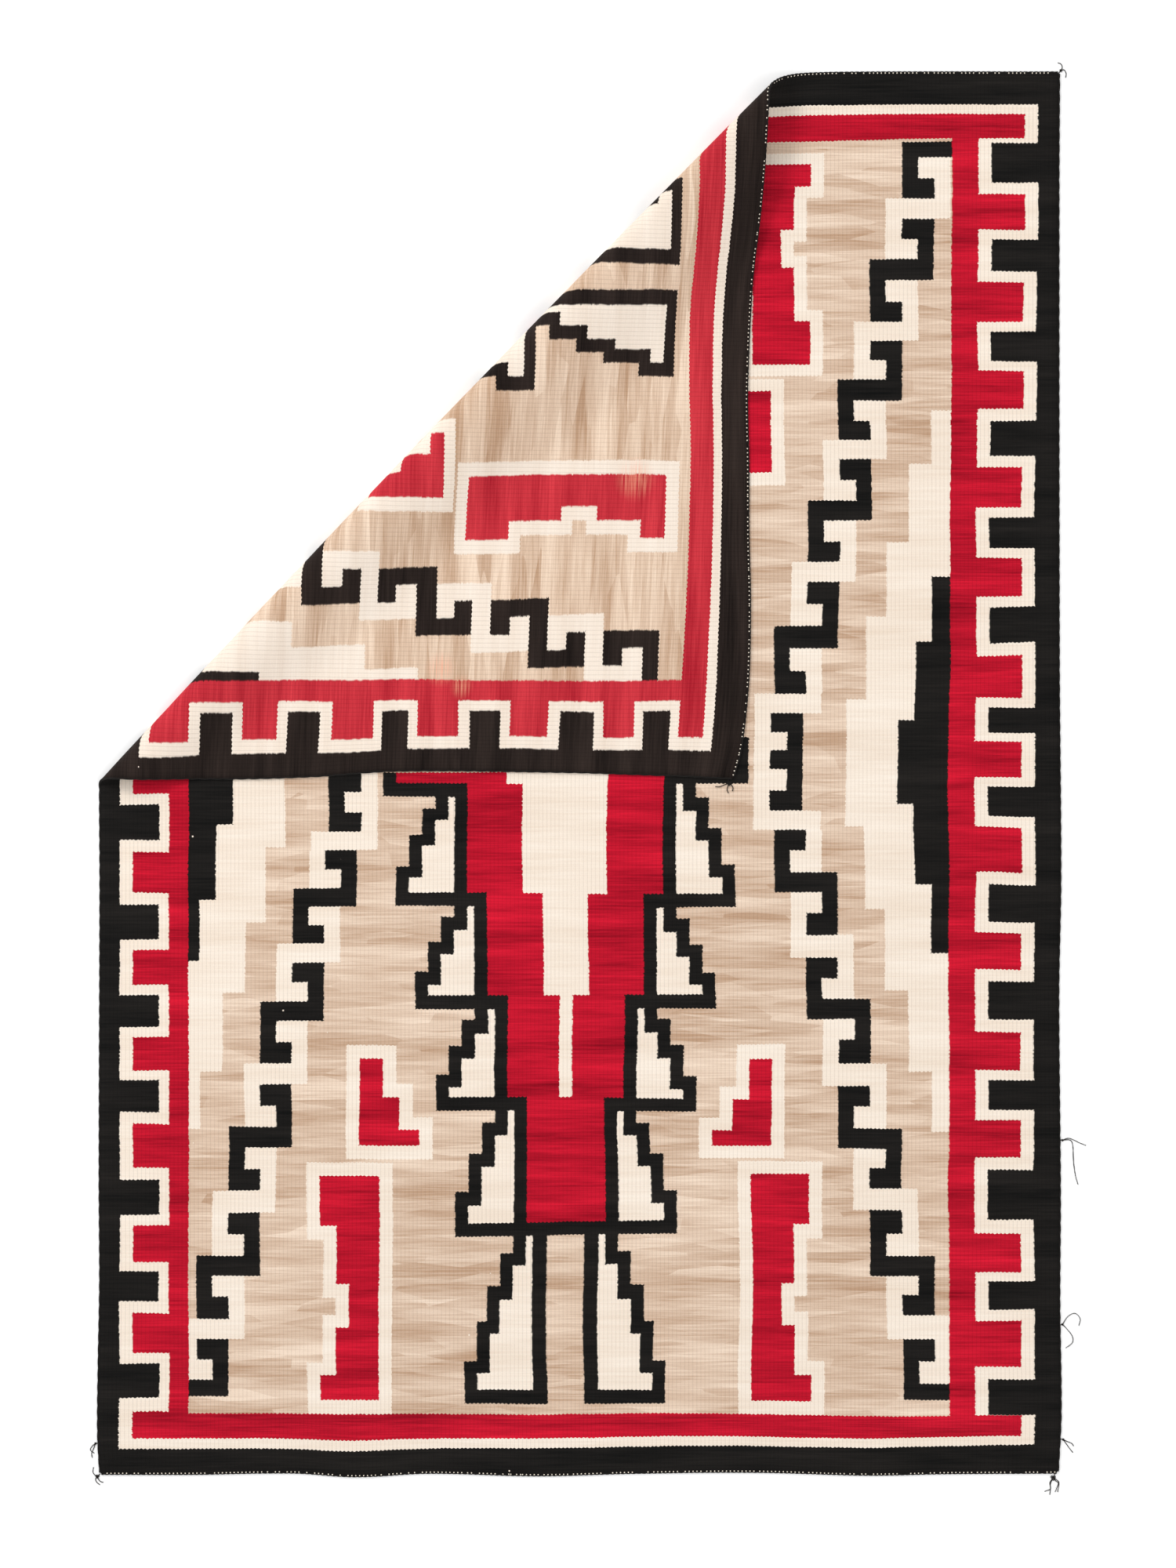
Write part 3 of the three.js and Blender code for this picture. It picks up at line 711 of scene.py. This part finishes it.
TUCK = 0.0011  # the cloth reaches this far under its cords, so that no floor shows between
across, down = round(WIDTH / SQUARE), round(LENGTH / SQUARE)
bm = bmesh.new()
bmesh.ops.create_grid(bm, x_segments=across, y_segments=down, size=0.5)
bmesh.ops.scale(bm, vec=(WIDTH + 2 * TUCK, LENGTH + 2 * TUCK, 1), verts=bm.verts)
uv = bm.loops.layers.uv.new("flat")
for face in bm.faces:
    face.smooth = True
    for loop in face.loops:
        loop[uv].uv = loop.vert.co.xy
for vert in bm.verts:
    vert.co = lay(*stray(vert.co.x, vert.co.y))
cloth_mesh = bpy.data.meshes.new("rug_cloth")
bm.to_mesh(cloth_mesh)
bm.free()
cloth_mesh.materials.append(face_material)
cloth_mesh.materials.append(back_material)
cloth = link("rug_cloth", cloth_mesh)
thick = cloth.modifiers.new("thickness", "SOLIDIFY")
thick.thickness = CLOTH
thick.offset = 0
thick.use_even_offset = False
thick.material_offset = 1
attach(cloth, "root")
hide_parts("cloth")
print("cloth grid", across, "by", down)

# %% [markdown]
# ## Yarn
#
# The rim cords and the loose ends are two-ply black wool. A helper sweeps one ply round a route by
# making a ring of corners at each step and bridging the rings. The ply's twist is the route itself.

# %% Yarn material
def wool_yarn(name, hex_value):
    material = bpy.data.materials.new(name)
    material.use_nodes = True
    tree = material.node_tree
    tree.nodes.clear()
    place = add(tree, "TexCoord", output="Object")
    fibres = add(tree, "TexNoise", {
        "Vector": place, "Scale": 900.0, "Detail": 3.0, "Roughness": 0.7})
    # painted highlights and shade: the fibres are lighter or darker by the same noise that gives
    # their bump
    light = add(tree, "MapRange", (fibres, 0.3, 0.7, 0.6, 1.5))
    shade_and_highlight = add(tree, "CombineColor", (light, light, light))
    colour = add(tree, "Mix", {0: 1.0, 6: linear(hex_value), 7: shade_and_highlight}, 2, data_type="RGBA",
                 blend_type="MULTIPLY")
    bump = add(tree, "Bump", {"Height": fibres, "Strength": 0.5, "Distance": 0.0004})
    shader = add(tree, "BsdfPrincipled", {
        "Base Color": colour, "Roughness": 0.9, "Sheen Weight": 0.05, "Sheen Roughness": 0.5,
        "Specular IOR Level": 0.2, "Normal": bump})
    add(tree, "OutputMaterial", (shader,))
    return material


black_yarn = wool_yarn("black_wool_yarn", "#1B1816")
ivory_yarn = wool_yarn("ivory_wool_yarn", "#F4E9D8")
print("yarns:", black_yarn.name, ivory_yarn.name)


# %% Sweep one ply along a route
def sweep(bm, route, radius, sides=6, taper=1.0):
    """A closed round yarn along a route of points. taper is the radius at the end."""
    rings = []
    side = None
    for k, point in enumerate(route):
        ahead = route[min(k + 1, len(route) - 1)] - route[max(k - 1, 0)]
        ahead.normalize()
        side = side or (Vector((0, 0, 1)) if abs(ahead.z) < 0.9 else Vector((1, 0, 0)))
        side = (side - ahead * side.dot(ahead)).normalized()
        other = ahead.cross(side)
        size = radius * (1 + (taper - 1) * k / (len(route) - 1))
        ring = []
        for i in range(sides):
            turn = i / sides * 2 * math.pi
            offset = side * math.cos(turn) + other * math.sin(turn)
            ring.append(bm.verts.new(point + offset * size))
        edges = [bm.edges.new((ring[i], ring[(i + 1) % sides])) for i in range(sides)]
        if rings:
            bmesh.ops.bridge_loops(bm, edges=rings[-1] + edges)
        rings.append(edges)
    for edges in (rings[0], rings[-1]):
        bmesh.ops.contextual_create(bm, geom=edges)


def twisted(middle, normals, apart, turns_per_metre, phase=0.0):
    """Two routes that wind round a middle line."""
    strands = ([], [])
    run = 0.0
    for k, point in enumerate(middle):
        if k:
            run += (point - middle[k - 1]).length
        ahead = (middle[min(k + 1, len(middle) - 1)] - middle[max(k - 1, 0)]).normalized()
        up = normals[k]
        side = ahead.cross(up).normalized()
        turn = run * turns_per_metre * 2 * math.pi + phase
        offset = (side * math.cos(turn) + up * math.sin(turn)) * apart
        strands[0].append(point + offset)
        strands[1].append(point - offset)
    return strands


def finish_piece(name, bm, material, nodes):
    bmesh.ops.recalc_face_normals(bm, faces=bm.faces)
    for face in bm.faces:
        face.smooth = True
    mesh = bpy.data.meshes.new(name)
    bm.to_mesh(mesh)
    bm.free()
    mesh.materials.append(material)
    piece = link(name, mesh)
    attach(piece, "root")
    if nodes:
        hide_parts(*nodes)
    print(name, len(mesh.polygons), "faces")
    return piece


# %% [markdown]
# ## The edge cords
#
# Two plied cords are twined along each rim, and each turn of them holds a warp or a few wefts. From
# above they show as a row of soft scallops. The cord follows the same edge as the cloth, bent by
# the same fold, just outside it.

# %% Edge cords
CORD_STEP = 0.003
CORD_TURNS = {"end": 62, "side": 26}  # turns in a metre
CORD_PLY_APART, CORD_PLY_RADIUS = 0.00065, 0.00105  # apart: from the cord's middle


def edge_middle(start, end, outward):
    """The middle line of one edge's cord, and its upward directions."""
    steps = round(math.dist(start, end) / CORD_STEP)
    middle, normals = [], []
    for k in range(steps + 1):
        f = k / steps
        x, y = (start[0] + (end[0] - start[0]) * f, start[1] + (end[1] - start[1]) * f)
        x, y = stray(x, y)
        up = lay_normal(x, y)
        here = lay(x, y)
        out = lay(x + outward[0] * 0.001, y + outward[1] * 0.001) - here
        out = (out - up * out.dot(up)).normalized()
        # the raise is towards the sky, on whichever side of the cloth that is
        lift = up if up.z >= 0 else -up
        middle.append(here + out * (EDGE_CORD / 2 + GAP) + lift * (EDGE_CORD - CLOTH) / 2)
        normals.append(up)
    return middle, normals


CORDS = [
    ("end_cord_top", (RIGHT, TOP), (LEFT, TOP), (0, 1), "end"),
    ("end_cord_bottom", (LEFT, BOTTOM), (RIGHT, BOTTOM), (0, -1), "end"),
    ("side_cord_left", (LEFT, TOP), (LEFT, BOTTOM), (-1, 0), "side"),
    ("side_cord_right", (RIGHT, TOP), (RIGHT, BOTTOM), (1, 0), "side"),
]
cord_lines = {}
for node, start, end, outward, kind in CORDS:
    middle, normals = edge_middle(start, end, outward)
    cord_lines[node] = (middle, normals)
    bm = bmesh.new()
    for strand in twisted(middle, normals, CORD_PLY_APART, CORD_TURNS[kind]):
        sweep(bm, strand, CORD_PLY_RADIUS, sides=6)
    finish_piece("twined_" + node, bm, black_yarn, [node])

# %% [markdown]
# ## Warp loops
#
# At both ends each pair of warps turns round the end cord, and shows as a tiny pale dot between the
# cord and the cloth. They are a few faces each, because there are hundreds.

# %% Warp loops
LOOP_PITCH = 0.00624
LOOP_RADIUS, LOOP_UP, LOOP_IN = 0.00115, 0.0012, 0.0014
LOOPS_LOST = 0.12  # share of the loops that have worn away
random.seed(4)
for node in ("end_cord_top", "end_cord_bottom"):
    middle, normals = cord_lines[node]
    bm = bmesh.new()
    run, due, count = 0.0, LOOP_PITCH, 0
    for k in range(1, len(middle) - 1):
        run += (middle[k] - middle[k - 1]).length
        if run < due:
            continue
        due += LOOP_PITCH * random.uniform(0.92, 1.08)
        if random.random() < LOOPS_LOST:
            continue
        up = normals[k] if normals[k].z >= 0 else -normals[k]
        # both end cords run with the cloth on their left
        inward = normals[k].cross(middle[k + 1] - middle[k - 1]).normalized()
        at = middle[k] + up * LOOP_UP + inward * LOOP_IN
        made = bmesh.ops.create_icosphere(bm, subdivisions=1, radius=LOOP_RADIUS)["verts"]
        bmesh.ops.translate(bm, verts=made, vec=at)
        count += 1
    finish_piece("warp_loops_" + node[9:], bm, ivory_yarn, [])
    print(count, "loops on", node)

# %% [markdown]
# ## Corner tassels and broken yarn ends
#
# At each corner the edge cords are knotted together and their ends left loose. Here and there a
# ply of the side cord has worn through, and its ends lie loose on the floor. Each is a small
# overhand knot with tapering strands, and lies where its solid does.

# %% Tassels
ON_FLOOR, ON_CLOTH = 0.0, CLOTH + GAP
STRAND = 0.0007  # half the thickness of a strand
KNOT_YARN = 0.0008  # half the thickness of a knot's yarn
PLY_APART, PLY_TURNS, PLY_RADIUS, PLY_TAPER = 0.00036, 260, 0.00052, 0.8
HAIRS, HAIR_RADIUS = 5, 0.00009  # at the end of each strand
# name: knot's middle, across, floor, strands as points from the middle (millimetres)
TASSELS = {
    "tassel_bottom_right": ((725, -1078.5), 9, ON_FLOOR, [
        [(-5, -8), (-4, -17), (-13, -21)], [(-4, -9), (-4, -17), (-5, -26)],
        [(4, -5), (8, -9), (3, -22)], [(5, -3), (9, -8), (7, -22)]]),
    "tassel_bottom_left": ((-737.5, -1076.5), 7, ON_FLOOR, [
        [(2, -5), (5, -8), (9, -9)], [(-3, -4), (-1, -9), (4, -13)],
        [(-4, 2), (-7, 7), (-6, 14)]]),
    "tassel_top_right": ((737, 1075), 5, ON_FLOOR, [
        [(2, 5), (0, 10), (-5, 12)], [(5, 1), (8, -5), (7, -11)]]),
    "tassel_turned_corner": ((229, -16), 8, ON_CLOTH, [
        [(-2, -5), (-3, -10), (-1, -15)], [(-7, -2), (-14, -5), (-21, -5)],
        [(4, -3), (6, -7), (5, -12)]]),
    "yarn_end_upper": ((739.2, -562), 4, ON_FLOOR, [
        [(9, 3), (18, 0), (26, -4), (36, -8)],
        [(12, 0), (16, -9), (17, -32), (20, -54), (24, -68)]]),
    "yarn_end_middle": ((739.4, -844), 4, ON_FLOOR, [
        [(8, 12), (19, 17), (27, 9), (25, -2)], [(6, -6), (15, -18), (15, -28), (5, -36)]]),
    "yarn_end_lower": ((740.4, -1020), 4, ON_FLOOR, [
        [(6, -3), (13, -6), (16, -10)], [(5, -7), (10, -14), (15, -20)]]),
    "yarn_end_left": ((-740.4, -1026), 4, ON_FLOOR, [
        [(-5, -4), (-8, -10), (-2, -15)], [(-3, -8), (-6, -15), (-5, -22)]]),
}


# Where each knot's own yarn joins the rim, from its middle (millimetres)
TIES = {
    "tassel_bottom_right": (3, 6), "tassel_bottom_left": (4, 4), "tassel_top_right": (-4, -4),
    "tassel_turned_corner": (-2, 7), "yarn_end_upper": (-5, 1), "yarn_end_middle": (-5, -1),
    "yarn_end_lower": (-6, 1), "yarn_end_left": (6, 1),
}


def smooth_route(points, steps_each=7):
    """Points on a smooth curve through a few given ones."""
    ends = [points[0] * 2 - points[1]] + points + [points[-1] * 2 - points[-2]]
    route = []
    for i in range(1, len(ends) - 2):
        a, b, c, d = ends[i - 1:i + 3]
        for k in range(steps_each):
            t = k / steps_each
            route.append(0.5 * (2 * b + (c - a) * t + (2 * a - 5 * b + 4 * c - d) * t ** 2
                                + (3 * b - a - 3 * c + d) * t ** 3))
    return route + [points[-1]]


def overhand(middle, floor, across):
    """The route of a small knot that rests on its floor."""
    size = (across / 2000 - KNOT_YARN) / 3
    route = []
    for k in range(37):
        t = k / 36 * 2 * math.pi
        route.append(Vector((
            middle[0] + size * (math.sin(t) + 2 * math.sin(2 * t)),
            middle[1] + size * (math.cos(t) - 2 * math.cos(2 * t)),
            floor + KNOT_YARN + size * 0.45 * (1 - math.sin(3 * t)))))
    return route


random.seed(11)
for node, (middle, across_mm, floor, strands) in TASSELS.items():
    centre = (middle[0] / 1000, middle[1] / 1000)
    bm = bmesh.new()
    sweep(bm, overhand(centre, floor, across_mm), KNOT_YARN, sides=6)
    tie = [TIES[node]]
    for strand in strands + [tie]:
        points = [Vector((*centre, floor + STRAND * 1.5))]
        for dx, dy in strand:
            points.append(Vector((centre[0] + dx / 1000, centre[1] + dy / 1000, floor + STRAND)))
        route = smooth_route(points)
        ups = [Vector((0, 0, 1))] * len(route)
        for ply in twisted(route, ups, PLY_APART, PLY_TURNS):
            for point in ply:
                point.z = max(point.z, floor + PLY_RADIUS)
            sweep(bm, ply, PLY_RADIUS, sides=5, taper=PLY_TAPER)
        if strand is tie:  # it ends at the rim, with no loose fibres
            continue
        for _ in range(HAIRS):
            begin = route[-random.randint(2, 5)]
            turn = random.uniform(0, 2 * math.pi)
            reach = random.uniform(0.001, 0.003)
            tip = begin + Vector((math.cos(turn), math.sin(turn), 0)) * reach
            tip.z = floor + 0.0001
            sweep(bm, [begin.copy(), (begin + tip) / 2, tip], HAIR_RADIUS, sides=3, taper=0.4)
    finish_piece("plied_" + node, bm, black_yarn, [node])

# %% [markdown]
# ## The sheet
#
# The cloth is one sheet with its flat size, folded on itself on the floor. The cords and loops go
# with it.

# %% Sheet
print("the cloth is one sheet, folded on itself on the floor")

# %% [markdown]
# ## Floor and light
#
# A plain pale floor, a broad soft light from the upper left, and a bright even surround, so that
# the fold casts only a faint shadow.

# %% Stage
bm = bmesh.new()
bmesh.ops.create_grid(bm, x_segments=1, y_segments=1, size=6)
floor_mesh = bpy.data.meshes.new("studio_floor")
bm.to_mesh(floor_mesh)
bm.free()
floor = link("studio_floor", floor_mesh)
floor_material = bpy.data.materials.new("pale_matt_floor")
floor_material.use_nodes = True
paint = floor_material.node_tree.nodes["Principled BSDF"]
paint.inputs["Base Color"].default_value = linear("#FFFFFF")
paint.inputs["Roughness"].default_value = 0.9
paint.inputs["Emission Color"].default_value = linear("#FFFFFF")
paint.inputs["Emission Strength"].default_value = 0.10
floor_mesh.materials.append(floor_material)


def area_light(name, at, towards, size, power):
    data = bpy.data.lights.new(name, "AREA")
    data.shape = "DISK"
    data.size = size
    data.energy = power
    light = bpy.data.objects.new(name, data)
    light.location = at
    light.rotation_euler = (Vector(towards) - Vector(at)).to_track_quat("-Z", "Y").to_euler()
    bpy.context.scene.collection.objects.link(light)
    return light


area_light("key", (-3.2, 3.0, 3.4), (0, 0, 0), 1.8, 115)
area_light("fill", (2.4, -1.6, 4.6), (0, 0, 0), 3.0, 40)
world = bpy.data.worlds.new("studio")
world.use_nodes = True
world.node_tree.nodes["Background"].inputs[0].default_value = (1, 1, 1, 1)
world.node_tree.nodes["Background"].inputs[1].default_value = 0.735
bpy.context.scene.world = world
bpy.context.scene.view_settings.view_transform = "Standard"
print("lights placed")
